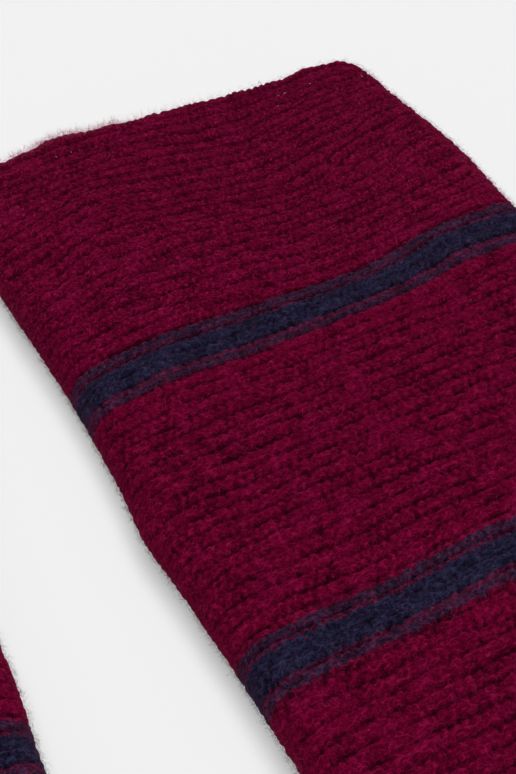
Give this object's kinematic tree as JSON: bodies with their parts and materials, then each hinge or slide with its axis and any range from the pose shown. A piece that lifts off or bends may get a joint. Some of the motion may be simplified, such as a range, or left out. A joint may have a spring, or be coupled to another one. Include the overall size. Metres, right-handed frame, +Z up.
{
  "type": "pair of knitted mittens",
  "caption": "Pair of flat-lying knitted mittens: open plain cuffs, striped hand tubes with rounded closed tips and side thumbs that bend at the wrist and thumb base.",
  "frame": {"origin": "on the surface the pair lies on, under the middle of the pair", "axes": "+Z up from the surface, +Y towards the open cuffs, +X towards the right mitten's thumb"},
  "size_m": [0.337, 0.267, 0.011],
  "materials": {
    "burgundy_yarn": "fuzzy wool blend knit",
    "navy_yarn": "fuzzy wool blend knit",
    "clear_elastic": "clear elastic thread"
  },
  "bodies": {
    "right_cuff": {"right_cuff_edge": "burgundy_yarn", "right_cuff_elastic_1": "clear_elastic", "right_cuff_elastic_round": "burgundy_yarn", "right_cuff_elastic_2": "clear_elastic", "right_cuff_band": "burgundy_yarn", "right_cuff_stripe": "navy_yarn", "right_wrist_band": "burgundy_yarn"},
    "right_hand": {"right_hand_heel_band": "burgundy_yarn", "right_hand_stripe": "navy_yarn", "right_hand_band": "burgundy_yarn", "right_finger_stripe": "navy_yarn", "right_finger_band": "burgundy_yarn", "right_tip_gather": "burgundy_yarn"},
    "right_thumb": {"right_thumb_base_round": "burgundy_yarn", "right_thumb_lower_band": "burgundy_yarn", "right_thumb_upper_band": "burgundy_yarn", "right_thumb_gather": "burgundy_yarn"},
    "left_cuff": {"left_cuff_edge": "burgundy_yarn", "left_cuff_elastic_1": "clear_elastic", "left_cuff_elastic_round": "burgundy_yarn", "left_cuff_elastic_2": "clear_elastic", "left_cuff_band": "burgundy_yarn", "left_cuff_stripe": "navy_yarn", "left_wrist_band": "burgundy_yarn"},
    "left_hand": {"left_hand_heel_band": "burgundy_yarn", "left_hand_stripe": "navy_yarn", "left_hand_band": "burgundy_yarn", "left_finger_stripe": "navy_yarn", "left_finger_band": "burgundy_yarn", "left_tip_gather": "burgundy_yarn"},
    "left_thumb": {"left_thumb_base_round": "burgundy_yarn", "left_thumb_lower_band": "burgundy_yarn", "left_thumb_upper_band": "burgundy_yarn", "left_thumb_gather": "burgundy_yarn"}
  },
  "joints": [
    {"name": "left_mitten_slide", "type": "slide", "parent": "right_cuff", "child": "left_cuff", "axis": [-1, 0, 0], "range_m": [0, 0.12]},
    {"name": "right_wrist_bend", "type": "hinge", "parent": "right_cuff", "child": "right_hand", "pos_m": [0.06329, 0.03337, 0.0112], "axis": [-0.9992, -0.0401, 0], "range_deg": [0, 90]},
    {"name": "left_wrist_bend", "type": "hinge", "parent": "left_cuff", "child": "left_hand", "pos_m": [-0.06329, 0.03857, 0.0112], "axis": [-0.9992, 0.0401, 0], "range_deg": [0, 90]},
    {"name": "right_thumb_fold", "type": "hinge", "parent": "right_hand", "child": "right_thumb", "pos_m": [0.11462, 0.0014, 0.0112], "axis": [0.0401, -0.9992, 0], "range_deg": [0, 160]},
    {"name": "left_thumb_fold", "type": "hinge", "parent": "left_hand", "child": "left_thumb", "pos_m": [-0.11462, 0.0066, 0.0112], "axis": [0.0401, 0.9992, 0], "range_deg": [0, 160]}
  ]
}
